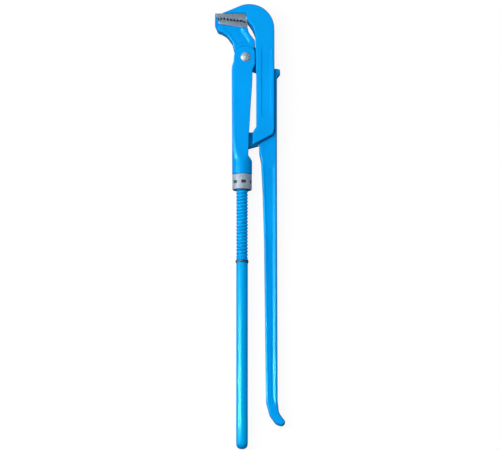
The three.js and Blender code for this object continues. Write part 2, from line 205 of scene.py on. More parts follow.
def turned(profile, segments=72, closed=False):
    """Solid turned about the screw axis; profile points are (radius, y) from low y to high y."""
    angles = [2 * math.pi * i / segments for i in range(segments)]
    return skin([round_ring(r, y, angles) for r, y in profile], closed)


def turned_z(profile, x, y, segments=72):
    """Solid turned about an upright axis; profile points are (radius, height), low to high."""
    angles = [2 * math.pi * i / segments for i in range(segments)]
    rings = [[(x + r * math.cos(a), y + r * math.sin(a), z) for a in angles] for r, z in profile]
    return skin(rings)


def rod_z(x, y, r, low, high):
    return turned_z([(r, low), (r, high)], x, y, 48)


def sheath_section(y, left, right, back, front, r_left, r_right):
    """Cross-section of the sheath at y: a box with its own corner radius on each side."""
    ring = []
    steps = 10
    corners = [
        (right, front, r_right, 0),
        (left, front, r_left, 90),
        (left, back, r_left, 180),
        (right, back, r_right, 270),
    ]
    for x, z, r, start in corners:
        cx = x - r if x == right else x + r
        cz = z - r if z == front else z + r
        for k in range(steps + 1):
            a = math.radians(start + 90 * k / steps)
            ring.append((cx + r * math.cos(a), y, cz + r * math.sin(a)))
    return ring


def cut(base, steps, voxel=0.0, smooth=0, keep=1.0):
    """Joins and cuts solids in turn, then rounds every edge and crease like a forging."""
    scene = bpy.context.scene
    work = bpy.data.objects.new("work", base)
    scene.collection.objects.link(work)
    tools = []
    for operation, mesh in steps:
        tool = bpy.data.objects.new("tool", mesh)
        scene.collection.objects.link(tool)
        tools.append(tool)
        boolean = work.modifiers.new("cut", "BOOLEAN")
        boolean.operation = operation
        boolean.solver = "MANIFOLD"
        boolean.object = tool
    if voxel:
        remesh = work.modifiers.new("even", "REMESH")
        remesh.mode = "VOXEL"
        remesh.voxel_size = voxel * 1.0
        remesh.use_smooth_shade = True
    if smooth:
        soften = work.modifiers.new("soften", "SMOOTH")
        soften.factor = 0.5
        soften.iterations = smooth
    if keep < 1:
        thin = work.modifiers.new("thin", "DECIMATE")
        thin.ratio = keep
    bpy.context.view_layer.update()
    graph = bpy.context.evaluated_depsgraph_get()
    made = bpy.data.meshes.new_from_object(work.evaluated_get(graph))
    for o in [work, *tools]:
        mesh = o.data
        bpy.data.objects.remove(o)
        bpy.data.meshes.remove(mesh)
    if len(made.polygons) < 8:
        raise RuntimeError("a cut left nothing of a piece")
    return made


def piece(name, mesh, material, body, nodes, sharp=None):
    """Puts a mesh of millimetres in its place as a named piece that moves with a body."""
    for v in mesh.vertices:
        v.co = Vector(((v.co.x + RIVET_X) * MM, (v.co.y + RIVET_Y) * MM, v.co.z * MM))
    mesh.name = name
    mesh.shade_smooth()
    if sharp is not None:
        mesh.set_sharp_from_angle(angle=math.radians(sharp))
    made = bpy.data.objects.new(name, mesh)
    bpy.context.scene.collection.objects.link(made)
    mesh.materials.clear()
    mesh.materials.append(material)
    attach(made, body)
    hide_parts(*nodes)
    return made


# ---- materials ----
def add_node(tree, kind, inputs=None, **settings):
    """Adds a shader node; an input that is a socket is linked, any other is a constant."""
    made = tree.nodes.new(kind)
    for key, value in settings.items():
        setattr(made, key, value)
    for key, value in (inputs or {}).items():
        if isinstance(value, bpy.types.NodeSocket):
            tree.links.new(value, made.inputs[key])
        else:
            made.inputs[key].default_value = value
    return made


def new_material(name):
    material = bpy.data.materials.new(name)
    material.use_nodes = True
    tree = material.node_tree
    tree.nodes.clear()
    where = add_node(tree, "ShaderNodeTexCoord").outputs["Object"]
    return material, tree, where


def noise_at(tree, where, scale, detail=3.0, rough=0.5):
    return add_node(
        tree,
        "ShaderNodeTexNoise",
        {"Vector": where, "Scale": scale, "Detail": detail, "Roughness": rough},
    ).outputs["Fac"]


def spread(tree, value, low, high, to_low, to_high):
    """Maps a range of values to another, clamped."""
    return add_node(
        tree,
        "ShaderNodeMapRange",
        {"Value": value, "From Min": low, "From Max": high, "To Min": to_low, "To Max": to_high},
    ).outputs["Result"]


def mixed(tree, amount, first, second):
    node = add_node(tree, "ShaderNodeMix", data_type="RGBA")
    for key, value in (("Factor", amount), ("A", first), ("B", second)):
        socket = next(
            s
            for s in node.inputs
            if s.name == key and s.enabled and (key == "Factor") == (s.type == "VALUE")
        )
        if isinstance(value, bpy.types.NodeSocket):
            tree.links.new(value, socket)
        else:
            socket.default_value = value if key == "Factor" else (*value[:3], 1.0)
    return next(s for s in node.outputs if s.type == "RGBA")


def times(tree, first, second):
    return add_node(
        tree, "ShaderNodeMath", {0: first, 1: second}, operation="MULTIPLY"
    ).outputs["Value"]


def bumped(tree, height, strength, distance, normal=None):
    inputs = {"Height": height, "Strength": strength, "Distance": distance}
    if normal is not None:
        inputs["Normal"] = normal
    return add_node(tree, "ShaderNodeBump", inputs).outputs["Normal"]


def stretched(tree, where, scale):
    """Coordinates drawn out along an axis, for marks that run in one direction."""
    return add_node(
        tree, "ShaderNodeMapping", {"Vector": where, "Scale": scale}
    ).outputs["Vector"]


def shade(tree, inputs):
    surface = add_node(tree, "ShaderNodeBsdfPrincipled", inputs)
    add_node(tree, "ShaderNodeOutputMaterial", {"Surface": surface.outputs["BSDF"]})


def tint(colour, factor):
    return tuple(min(1.0, c * factor) for c in colour[:3])


def from_axis(tree, where):
    """Distance of a point from the screw axis."""
    axis = ((RIVET_X + AXIS_X) * MM, 0.0, AXIS_Z * MM)
    flat = add_node(
        tree, "ShaderNodeVectorMath", {0: where, 1: (1.0, 0.0, 1.0)}, operation="MULTIPLY"
    ).outputs["Vector"]
    return add_node(
        tree, "ShaderNodeVectorMath", {0: flat, 1: axis}, operation="DISTANCE"
    ).outputs["Value"]


def enamel(settings, name, grain=1.0, wear_and_highlight_scale=1.0, arm_shade=False, thread=False):
    """Blue enamel over metal: slow tone changes, orange peel, a thin bright film on the edges that
    is partly a painted highlight, and painted shade in creases.
    The arm-shade flag paints shade on the top of the arm between the shank and the sheath, and the
    thread flag paints shade in the root of the screw thread and a painted highlight on its crests."""
    material, tree, where = new_material(name)
    base = tuple(settings.paint)
    cloud = noise_at(tree, where, 14.0, 2.0)
    mottle = noise_at(tree, where, 210.0, 4.0, 0.6)
    peel = noise_at(tree, where, 1500.0, 2.0)
    colour = mixed(tree, spread(tree, cloud, 0.35, 0.65, 0.0, 1.0), base, tint(base, 0.90))
    fleck = spread(tree, mottle, 0.60, 0.78, 0.0, 0.35)
    colour = mixed(tree, fleck, colour, tint(base, 0.78))
    edges = add_node(tree, "ShaderNodeNewGeometry").outputs["Pointiness"]
    # Lighter film on convex edges: partly thin enamel, partly a painted highlight.
    film = times(tree, spread(tree, edges, 0.56, 0.66, 0.0, settings.wear_and_highlight * wear_and_highlight_scale), mottle)
    colour = mixed(tree, film, colour, settings.edge_film_and_highlight)
    # Painted shade: darker in creases and concave corners.
    hollow = spread(tree, edges, 0.40, 0.49, 0.45, 0.0)
    colour = mixed(tree, hollow, colour, tint(base, 0.55))
    if thread:
        # Painted shade in the thread's root and a painted highlight on its crests.
        away = from_axis(tree, where)
        root = spread(tree, away, 5.7 * MM, 6.15 * MM, 0.45, 0.0)
        colour = mixed(tree, root, colour, tint(base, 0.40))
        crest = spread(tree, away, 6.3 * MM, 6.45 * MM, 0.0, 0.35)
        colour = mixed(tree, crest, colour, settings.edge_film_and_highlight)
    # Painted shade on the top of the arm between the shank and the sheath.
    if arm_shade:
        place = add_node(tree, "ShaderNodeSeparateXYZ", {"Vector": where}).outputs
        arm_y = RIVET_Y + ARM_Y
        near = spread(tree, place["Y"], (arm_y - 1) * MM, (arm_y + 1) * MM, 0.75, 0.0)
        low = spread(tree, place["Z"], 14.8 * MM, 15.6 * MM, 1.0, 0.0)
        colour = mixed(tree, times(tree, near, low), colour, tint(base, 0.35))
    normal = bumped(tree, peel, 0.10 * grain, 0.00012)
    normal = bumped(tree, mottle, 0.16 * grain, 0.0005, normal)
    shade(
        tree,
        {
            "Base Color": colour,
            "Roughness": spread(tree, mottle, 0.3, 0.7, settings.gloss, settings.gloss + 0.08),
            "Specular IOR Level": 0.26,
            "Specular Tint": (0.20, 1.0, 0.60, 1.0),
            "Normal": normal,
        },
    )
    return material


def ground_steel(settings, name):
    """Bare ground faces with grinding lines; the notches and sides keep their blue paint, darkened
    by painted shade, and the downward tips are brightened by painted light.
    """
    material, tree, where = new_material(name)
    base = tuple(settings.jaw_steel)
    paint = tuple(settings.paint)
    lines = noise_at(tree, stretched(tree, where, (900.0, 90.0, 160.0)), 1.0, 3.0)
    patch = noise_at(tree, where, 300.0, 4.0, 0.65)
    colour = mixed(tree, spread(tree, lines, 0.3, 0.7, 0.0, 1.0), tint(base, 0.8), tint(base, 1.2))
    colour = mixed(tree, spread(tree, patch, 0.5, 0.75, 0.0, 0.4), colour, tint(base, 0.6))
    facing = add_node(tree, "ShaderNodeTexCoord").outputs["Normal"]
    parts = add_node(tree, "ShaderNodeSeparateXYZ", {"Vector": facing}).outputs
    tip = spread(tree, parts["Y"], -0.93, -0.8, 1.0, 0.0)
    up = add_node(tree, "ShaderNodeMath", {0: parts["Z"]}, operation="ABSOLUTE").outputs["Value"]
    # Notches and sides keep blue paint, darkened as painted shade.
    side = mixed(tree, patch, tint(paint, 0.35), tint(paint, 0.6))
    colour = mixed(tree, spread(tree, up, 0.4, 0.8, 0.0, 1.0), side, colour)
    # Downward-facing tips made much brighter: painted light where the lamps barely reach.
    colour = mixed(tree, tip, colour, tint(base, 3.2))
    shade(
        tree,
        {
            "Base Color": colour,
            "Metallic": 0.2,
            "Roughness": spread(tree, patch, 0.3, 0.7, 0.42, 0.6),
            "Normal": bumped(tree, lines, 0.2, 0.0002),
        },
    )
    return material


def plated_steel(
    settings, name, colour_setting, metallic=0.25, rough=0.4, stain=0.4, hollow=0.0, scuffed=False
):
    """Zinc-plated or bright steel: turning lines, cloudy plating, small brown-grey stains.
    `hollow` is the radius about the screw axis below which the surface gets painted shade; creases
    get painted shade as well."""
    material, tree, where = new_material(name)
    base = tuple(colour_setting)
    lines = noise_at(tree, stretched(tree, where, (60.0, 1400.0, 60.0)), 1.0, 2.0)
    cloud = noise_at(tree, where, 160.0, 5.0, 0.6)
    spots = noise_at(tree, where, 620.0, 3.0, 0.7)
    tone = spread(tree, cloud, 0.35, 0.65, 0.0, 1.0)
    colour = mixed(tree, tone, tint(base, 0.84), tint(base, 1.1))
    marks = times(tree, spread(tree, spots, 0.54, 0.64, 0.0, 1.0), stain)
    stained = (base[0] * 0.30, base[1] * 0.26, base[2] * 0.24)
    if scuffed:
        across = add_node(tree, "ShaderNodeSeparateXYZ", {"Vector": where}).outputs["X"]
        side = spread(tree, across, (RIVET_X - 1.5) * MM, (RIVET_X + 1.5) * MM, 0.1, 1.0)
        marks = times(tree, spread(tree, spots, 0.47, 0.54, 0.0, 0.9), side)
    colour = mixed(tree, marks, colour, stained)
    edges = add_node(tree, "ShaderNodeNewGeometry").outputs["Pointiness"]
    # Painted shade: darker in creases and concave corners.
    colour = mixed(tree, spread(tree, edges, 0.40, 0.49, 0.75, 0.0), colour, tint(base, 0.3))
    # Painted shade in the slots and on the end face, inside the given radius.
    if hollow:
        away = from_axis(tree, where)
        low = spread(tree, away, (hollow - 0.5) * MM, (hollow + 0.1) * MM, 0.92, 0.0)
        colour = mixed(tree, low, colour, SHADE_DARK)
    shade(
        tree,
        {
            "Base Color": colour,
            "Metallic": metallic,
            "Roughness": spread(tree, cloud, 0.3, 0.7, rough, rough + 0.16),
            "Normal": bumped(tree, lines, 0.12, 0.0001),
        },
    )
    return material


def dark_steel(settings, name):
    """Blackened steel with a faint blue bloom and rubbed high spots."""
    material, tree, where = new_material(name)
    cloud = noise_at(tree, where, 500.0, 4.0, 0.6)
    base = tuple(settings.ring_colour)
    colour = mixed(tree, spread(tree, cloud, 0.35, 0.7, 0.0, 1.0), base, tint(base, 1.9))
    shade(
        tree,
        {
            "Base Color": colour,
            "Roughness": spread(tree, cloud, 0.3, 0.7, 0.4, 0.6),
            "Normal": bumped(tree, cloud, 0.2, 0.0003),
        },
    )
    return material


# ---- pieces ----
def build_lever(settings):
    """Long lever: lower jaw, neck, plate behind the hook, flange with its lug, ribbed handle."""
    neck_plan = [
        (-34.2, 46.1, 1.4), (-34.2, 36.5, 4), (-30.4, 29.6, 2.5), (-26.2, 28.3, 3),
        (-20.6, 25.0, 8), (-14.4, 16.4, 10), (-12.4, 7.6),
        *arc(0, 0, EYE_R - 1.2, 148, 38, 24),
        (10.7, 16.0, 1.2), (10.4, 19.6, 3), (6.2, 24.8, 6), (3.6, 28.8, 5), (2.6, 33.15),
        (-29.65, 37.85), (-30.4, 42.8), (-32.0, 46.1),
    ]  # fmt: skip
    lever_plan = [
        (-17.0, 22.0, 2), (-14.4, 16.8, 6), (-12.2, 8.0, 4), (-12.0, 1.0),
        *arc(0, 0, 12.0, 190, 265, 14),
        (7.6, -13.4, 3), (13.2, -15.2, 3), (13.2, -84.0, 6), (15.1, -97.0, 3),
        (15.3, -106.5, 8), (17.4, -117.5, 20), (19.2, -155), (20.6, -205), (21.4, -277),
        (22.7, -386, 10), (26.6, -401, 10), (33.8, -411.0, 8), (41.0, -413.0, 4),
        (44.4, -408.8, 2.6), (36.9, -398.5, 14), (35.5, -386), (35.2, -230), (35.0, -120),
        (35.2, -21.2, 2.5), (38.7, -16.6, 2.4), (38.6, -11.7, 2.4), (33.6, -11.6, 3),
        (24.0, -3.0, 12), (12.0, 12.5, 6), (4.0, 22.0, 3),
    ]  # fmt: skip
    shank_room = [
        (-60, 60), (-60, -99), (11.0, -98.3), (30.9, -87.6, 3),
        (SHANK_RIGHT + GAP + 0.15, -83.2, 2), (SHANK_RIGHT + GAP + 0.05, 60),
    ]  # fmt: skip
    # Sunken webs: (x, y) on the face, then (x, y, depth) on the floor, which rises to the left.
    web = [
        (20.4, -114.0, 21.2, -132.0, 0.4), (22.6, -190, 23.4, -190, 0.4),
        (23.7, -277, 24.5, -277, 0.4), (24.9, -382, 25.7, -380, 0.4),
        (27.4, -394.0, 28.0, -382.0, 0.4), (33.3, -392, 30.2, -382.0, 1.1),
        (33.4, -277, 30.2, -277, 1.1), (33.3, -113.0, 30.2, -128.0, 1.1),
    ]  # fmt: skip
    neck_web = [
        (-26.8, 40.0, -24.4, 40.0, 0.4), (-25.6, 33.0, -23.2, 33.0, 0.4),
        (-18.6, 26.4, -16.4, 26.4, 0.4),
        (-13.8, 19.4, -12.2, 19.6, 0.45), (-9.6, 13.9, -9.2, 15.4, 0.5),
        (-4.8, 14.8, -4.4, 17.8, 0.8), (4.9, 14.8, 1.7, 18.6, 1.2),
        (3.6, 20.2, 0.9, 20.6, 1.4), (-2.6, 31.0, -5.2, 30.6, 1.4),
        (-4.0, 38.0, -6.6, 38.0, 1.4),
    ]  # fmt: skip
    mid = (JAW_BACK + FACE_TOP) / 2
    nose = [(-36.0, mid + 0.6), (-34.2, mid + 0.6), (-30.6, mid + 9.1), (-36.0, mid + 9.1)]
    noses = [
        skin([[(x, y, mid + side * (z - mid)) for x, z in nose[::-side]] for y in (24, 54)])
        for side in (1, -1)
    ]
    bore = [(6.1, -1), (6.1, 0.4), (RIVET_R + 0.15, 2.4), (RIVET_R + 0.15, 30)]
    # The neck is made long and then cut round, so that its rim stays crisp against the eye.
    neck = cut(
        plate(neck_plan, JAW_BACK, FACE_TOP + 0.2, 1.3, 5),
        [("DIFFERENCE", rod_z(0, 0, EYE_R + EYE_GAP, PLATE_TOP, 30))],
    )
    mesh = cut(
        plate(lever_plan, 0, HANDLE_TOP, 2.0, 4),
        [
            ("DIFFERENCE", plate(shank_room, PLATE_TOP, 40)),
            ("UNION", plate(lever_plan, 0, PLATE_TOP, 0.7)),
            ("UNION", neck),
            ("UNION", rod_z(0, 0, EYE_R - 2.0, 0, PLATE_TOP)),
            ("DIFFERENCE", sunk(web, HANDLE_TOP)),
            ("DIFFERENCE", sunk(web, HANDLE_TOP, HANDLE_TOP)),
            ("DIFFERENCE", sunk(neck_web, FACE_TOP + 0.2)),
            ("DIFFERENCE", noses[0]),
            ("DIFFERENCE", noses[1]),
            ("DIFFERENCE", turned_z(bore, 0, 0, 48)),
        ],
        voxel=0.5,
        smooth=4,
        keep=0.35,
    )
    paint = enamel(settings, "lever_enamel", grain=1.2)
    piece("Long_Lever", mesh, paint, "lever", ["long_lever"])


def build_hook(settings):
    """Hook: upper jaw, crown, shank with its sunken panel, and the arm into the sheath."""
    plan = [
        (-26.4, 50.2), (0.95, 50.2), (0.95, 43.7), (8.4, 34.6, 6), (10.8, 26.0, 6),
        (SHANK_LEFT, 2.0), (SHANK_LEFT + 0.5, -20), (SHANK_LEFT + 0.5, -79.2, 2),
        (8.4, -84.2, 2), (7.6, -99.5), (30.9, -87.0, 4), (32.4, -81.0, 4),
        (SHANK_RIGHT, 30.0), *arc(4.2, 32.9, 27.97, 0, 110, 36),
    ]  # fmt: skip
    arm = [
        (9.4, -84.4), (-10.6, -84.4, 5), (-10.6, -103.4, 5), (3.6, -102.6),
        (14.8, -99.4), (14.8, -90.0),
    ]  # fmt: skip
    panel = [
        (17.7, 15.0, 18.3, 6.0, 0.8), (17.7, -70.5, 18.3, -62.0, 0.8),
        (28.4, -70.5, 27.8, -62.0, 0.6), (28.4, 15.0, 27.8, 6.0, 0.6),
    ]  # fmt: skip
    jaw_zone = [(-60, 80), (-60, 30), (0, 24), (40, 24), (40, 80)]
    # Forging draft on the inner wall of the hook, from its back to mid-height.
    draft = [
        (0.95, 45.0), (0.95, 42.2), (4.6, 37.6), (7.6, 33.0), (9.6, 28.6), (10.9, 24.5), (14, 24.5),
        (14, 45.0),
    ]  # fmt: skip
    jaw = cut(
        plate(plan, JAW_BACK, FACE_TOP, 1.2),
        [("INTERSECT", plate(jaw_zone, 0, 30)), ("UNION", plate(draft, JAW_BACK + 0.3, 15.0, 0.4))],
    )
    mesh = cut(
        plate(plan, PLATE_TOP + GAP, FACE_TOP, 1.2),
        [
            ("UNION", jaw),
            ("UNION", plate(arm, AXIS_Z - ARM_HALF, AXIS_Z + ARM_HALF, 0.5)),
            ("DIFFERENCE", sunk(panel, FACE_TOP)),
            ("DIFFERENCE", rod_z(AXIS_X, PIN_Y, PIN_R + 0.2, 0, 30)),
        ],
        voxel=0.5,
        smooth=3,
        keep=0.35,
    )
    # The hook's enamel gets painted shade on the arm.
    paint = enamel(settings, "hook_enamel", arm_shade=True)
    piece("Hook_Jaw", mesh, paint, "hook", ["hook_jaw"])


def build_sheath(settings):
    """Sheath: round eye, channel open towards the shank, and the round socket."""
    plan = [
        (EYE_SIDE_X, 7.2), *arc(0, 0, EYE_R, 36, 176, 36), (-13.3, -5.0, 6), (-15.0, -9.6, 4),
        (-15.4, -14.0, 6), (-14.9, -100), (-14.9, -121), (7.3, -121), (7.2, -116.4, 1),
        (2.9, -111.2, 3), (3.3, -104), (4.2, -80), (6.0, -48.7), (7.8, -21.5),
        (7.8, -13.6, 4), (EYE_SIDE_X, -8.6, 4),
    ]  # fmt: skip
    low, high = AXIS_Z - SOCKET_R, AXIS_Z + SOCKET_R
    r = SOCKET_R - 0.02
    body = skin(
        [
            sheath_section(SOCKET_END, -14.87, 7.27, low, high, r, r),
            sheath_section(-116, -14.87, 7.27, low, high, r, r),
            sheath_section(-104, -15.1, 10.0, 1.2, 21.0, 6.0, 4.0),
            sheath_section(-92, -15.4, 12.0, SHEATH_BACK, SHEATH_TOP, 3.8, 1.5),
            sheath_section(14, -15.6, 12.0, SHEATH_BACK, SHEATH_TOP, 3.5, 1.5),
        ]
    )
    trim = cut(plate(plan, -1, 30), [("UNION", block(-20, 20, -140, -120.5, -1, 30))])
    bore = [
        (9.05, SOCKET_END - 1), (9.05, RING_Y - 0.9), (9.75, RING_Y - 0.9),
        (9.75, RING_Y + 0.9), (9.05, RING_Y + 0.9), (9.05, NUT_NECK_TOP + 0.4),
        (7.0, NUT_NECK_TOP + 0.4), (7.0, -100),
    ]  # fmt: skip
    cavity = (SHEATH_BACK + SHEATH_WALL, SHEATH_TOP - SHEATH_WALL)
    mesh = cut(
        body,
        [
            ("INTERSECT", trim),
            ("DIFFERENCE", block(-30, 30, -19.4, 30, -5, PLATE_TOP + GAP)),
            ("DIFFERENCE", block(-11.7, 30, -106, SHEATH_CAVITY_TOP, *cavity)),
            ("DIFFERENCE", turned(bore)),
            ("DIFFERENCE", rod_z(0, 0, RIVET_R + 0.4, -1, 30)),
        ],
        voxel=0.45,
        smooth=3,
        keep=0.35,
    )
    paint = enamel(settings, "sheath_enamel", grain=0.7)
    piece("Sheath", mesh, paint, "sheath_body", ["sheath"])


def teeth(start, angle, count, depth, flat):
    """Corners of a toothed face along an angle; each tooth has a flat of twice `flat`."""
    along = Vector((math.cos(math.radians(angle)), math.sin(math.radians(angle))))
    out = Vector((-along.y, along.x)) * depth
    corners = []
    for i in range(count):
        root = Vector(start) + along * (i * TOOTH_PITCH)
        tip = root + along * (0.5 * TOOTH_PITCH) + out
        corners += [tuple(root), tuple(tip - along * flat), tuple(tip + along * flat)]
    corners.append(tuple(Vector(start) + along * (count * TOOTH_PITCH)))
    return corners


def build_jaw_strips(settings):
    """Bare toothed strips of the two jaws."""
    steel = ground_steel(settings, "jaw_steel")
    lower = [
        (-29.3, 38.15), (2.3, 33.5), (2.3, 38.8), (-0.4, 39.2),
        *teeth((-1.3, 38.8), 171.6, 7, -1.2, 0.6), (-28.6, 43.8), (-29.3, 43.8),
    ]  # fmt: skip
    lower = plate(lower, JAW_BACK + 0.5, FACE_TOP - 0.2, 0.2, 2)
    piece("Lower_Jaw_Teeth", lower, steel, "lever", ["lower_jaw_teeth"], 30)
    upper = [
        (-34.2, 46.6, 0.6), *teeth((-30.8, 46.2), -5.75, 7, -1.9, 0.8), (-3.9, 41.9),
        (0.55, 41.7), (0.55, 49.85), (-34.0, 49.85, 0.6),
    ]  # fmt: skip
    upper = plate(upper, JAW_BACK + 0.3, FACE_TOP - 0.3, 0.2, 2)
    piece("Upper_Jaw_Teeth", upper, steel, "hook", ["upper_jaw_teeth"], 30)


def thread_radius(settings, phase):
    """Radius of the rolled thread at a phase of its pitch: rounded root and crest."""
    lift = 0.5 - 0.5 * math.cos(2 * math.pi * phase)
    lift = lift * lift * (3 - 2 * lift)
    return CREST_R - settings.thread_depth * (1 - lift)


def build_screw_handle(settings):
    """Screw handle: clevis head, rolled thread, plain rod with a rounded end."""
    segments, per_pitch = 48, 14
    profile = [(0.8, ROD_END + 0.02), (3.6, ROD_END + 0.7), (5.0, ROD_END + 1.8)]
    profile += [(5.95, ROD_END + 3.4), (6.4, ROD_END + 5.6), (6.5, ROD_END + 26)]
    profile += [(ROD_R, ROD_END + 40), (ROD_R, -300.0), (ROD_R, THREAD_END - 2.0)]
    rows = int((THREAD_START - THREAD_END) / PITCH * per_pitch)
    angles = [2 * math.pi * i / segments for i in range(segments)]
    rings = [round_ring(r, y, angles) for r, y in profile]
    for row in range(rows + 1):
        y = THREAD_END + (THREAD_START - THREAD_END) * row / rows
        ease = min(1.0, (y - THREAD_END) / 2.5, (THREAD_START - y) / 2.5)
        ring = []
        for a in angles:
            r = thread_radius(settings, (y / PITCH - a / (2 * math.pi)) % 1.0)
            r = ROD_R - 0.2 + (r - ROD_R + 0.2) * max(0.0, ease)
            ring.append((AXIS_X + r * math.sin(a), y, AXIS_Z + r * math.cos(a)))
        rings.append(ring)
    head = [(6.1, THREAD_START + 1.0), (6.4, THREAD_START + 2.0)]
    head += [(6.4, PIN_Y + 4.6), (5.2, PIN_Y + 6.2)]
    rings += [round_ring(r, y, angles) for r, y in head]
    half = ARM_HALF + GAP
    slot = block(-20, 20, PIN_Y - 10.2, PIN_Y + 20, AXIS_Z - half, AXIS_Z + half)
    mesh = cut(
        skin(rings),
        [("DIFFERENCE", slot), ("DIFFERENCE", rod_z(AXIS_X, PIN_Y, PIN_R + 0.2, -1, 30))],
    )
    # The screw's enamel gets painted shade in the thread root and a painted highlight on the
    # crests.
    paint = enamel(settings, "screw_enamel", grain=0.6, thread=True)
    piece("Screw_Handle", mesh, paint, "hook", ["screw_handle"], 50)


def build_nut(settings):
    """Adjusting nut: slotted ring with a neck in the socket."""
    body = [
        (NUT_R - 0.5, NUT_END), (NUT_R, NUT_END + 0.5), (NUT_R, SOCKET_END - 0.9),
        (NUT_R - 0.5, SOCKET_END - GAP), (NUT_NECK_R, SOCKET_END - GAP),
        (NUT_NECK_R, RING_Y - 0.8), (7.9, RING_Y - 0.8), (7.9, RING_Y + 0.8),
        (NUT_NECK_R, RING_Y + 0.8), (NUT_NECK_R, NUT_NECK_TOP),
    ]  # fmt: skip
    bore = [(CREST_R + 0.3, NUT_END - 3), (CREST_R + 0.3, NUT_NECK_TOP + 3)]
    cuts = [("DIFFERENCE", turned(bore))]
    for i in range(6):
        angle = math.radians(i * 60 + 12)
        c, s = math.cos(angle), math.sin(angle)
        slot = block(-2.8, 2.8, NUT_SLOT_Y - 1.7, NUT_SLOT_Y + 1.7, NUT_R - 2.0, NUT_R + 2.0)
        for v in slot.vertices:
            x, z = v.co.x, v.co.z
            v.co.x = AXIS_X + x * c + z * s
            v.co.z = AXIS_Z - x * s + z * c
        cuts.append(("DIFFERENCE", slot))
    mesh = cut(turned(body, 96), cuts, voxel=0.24, smooth=2, keep=0.4)
    # Inside this radius, the nut's slots and end face get painted shade.
    zinc = plated_steel(settings, "nut_zinc", settings.zinc, 0.15, 0.5, hollow=NUT_R - 0.5)
    piece("Adjusting_Nut", mesh, zinc, "nut", ["adjusting_nut"])


def build_fasteners(settings):
    """Rivet with its peened head, hidden link pin, hidden wire ring."""
    top = SHEATH_TOP + 0.15
    profile = [(5.6, 0.1), (5.6, 0.5), (RIVET_R, 2.2), (RIVET_R, top), (RIVET_HEAD_R - 0.2, top)]
    profile += [(RIVET_HEAD_R, top + 0.2)]
    for k in range(1, 12):
        a = math.pi / 2 * k / 12
        profile.append((RIVET_HEAD_R * math.cos(a), top + 0.35 + 2.05 * math.sin(a)))
    mesh = turned_z(profile, 0, 0, 64)
    for v in mesh.vertices:
        if v.co.z > top + 0.4:
            dent = noise.noise(Vector((v.co.x * 0.8 + 7.1, v.co.y * 0.8, 3.0)))
            ring = math.exp(-((math.hypot(v.co.x - 0.6, v.co.y) - 2.6) ** 2) / 0.10)
            sink = min(0.0, dent * (0.7 + 0.14 * v.co.x)) - 0.35 * ring
            v.co.z = max(top + 0.3, v.co.z + sink)
    colour = settings.rivet_colour
    bright = plated_steel(settings, "rivet_steel", colour, 0.35, 0.32, 0.9, scuffed=True)
    piece("Pivot_Rivet", mesh, bright, "lever", ["pivot_rivet"], 40)
    half = 5.7
    pin = [(PIN_R - 0.4, AXIS_Z - half), (PIN_R, AXIS_Z - half + 0.4)]
    pin += [(PIN_R, AXIS_Z + half - 0.4), (PIN_R - 0.4, AXIS_Z + half)]
    plain = plated_steel(settings, "pin_steel", colour, 0.4, 0.36)
    mesh = turned_z(pin, AXIS_X, PIN_Y, 40)
    piece("Link_Pin", mesh, plain, "hook", ["link_pin"], 40)
    wire = [(8.83 + 0.7 * math.cos(a), RING_Y + 0.58 * math.sin(a)) for a in
            (2 * math.pi * k / 14 for k in range(14))]
    gap = block(AXIS_X - 1.5, AXIS_X + 1.5, RING_Y - 2, RING_Y + 2, -5, AXIS_Z)
    mesh = cut(turned(wire, 64, closed=True), [("DIFFERENCE", gap)])
    spring = plated_steel(settings, "wire_steel", settings.zinc, 0.5, 0.3)
    nodes = ["nut_retaining_ring"]
    piece("Nut_Retaining_Ring", mesh, spring, "sheath_body", nodes, 40)


def build_stop_ring(settings):
    """Dark ring on the rod just under the thread."""
    section = [(ROD_R + 0.1, -231.6), (6.75, -231.6), (7.05, -231.3), (7.15, -230.8)]
    section += [(7.15, -229.0), (7.05, -228.5), (6.75, -228.2), (ROD_R + 0.1, -228.2)]
    mesh = turned(section, 64, closed=True)
    black = dark_steel(settings, "ring_black")
    piece("Stop_Ring", mesh, black, "hook", ["stop_ring"], 40)


# ---- stage ----
def area_light(name, place, aim, size, power, glossy=True, diffuse=True):
    data = bpy.data.lights.new(name, "AREA")
    data.shape = "RECTANGLE"
    data.size, data.size_y = size
    data.energy = power
    lamp = bpy.data.objects.new(name, data)
    bpy.context.scene.collection.objects.link(lamp)
    lamp.location = place
    lamp.rotation_euler = (Vector(aim) - Vector(place)).to_track_quat("-Z", "Y").to_euler()
    lamp.visible_glossy = glossy
    lamp.visible_diffuse = diffuse


def build_floor(settings):
    """White paper sweep that shows hardly any shadow and throws no light back."""
    half = 3.0
    mesh = bpy.data.meshes.new("Floor")
    low = BELOW_BACK * MM
    corners = [(-half, -half, low), (half, -half, low), (half, half, low), (-half, half, low)]
    mesh.from_pydata(corners, [], [(0, 1, 2, 3)])
    floor = bpy.data.objects.new("Floor", mesh)
    bpy.context.scene.collection.objects.link(floor)
    material, tree, where = new_material("floor_paper")
    tone = spread(tree, noise_at(tree, where, 3.0, 2.0), 0.3, 0.7, 0.10, 0.12)
    colour = add_node(tree, "ShaderNodeCombineColor", {"Red": tone, "Green": tone, "Blue": tone})
    shade(
        tree,
        {
            "Base Color": colour.outputs["Color"],
            "Roughness": 0.9,
            "Specular IOR Level": 0.0,
            "Emission Color": (1.0, 1.0, 1.0, 1.0),
            "Emission Strength": settings.floor_glow,
        },
    )
    mesh.materials.append(material)
    floor.visible_diffuse = False
    floor.visible_glossy = False


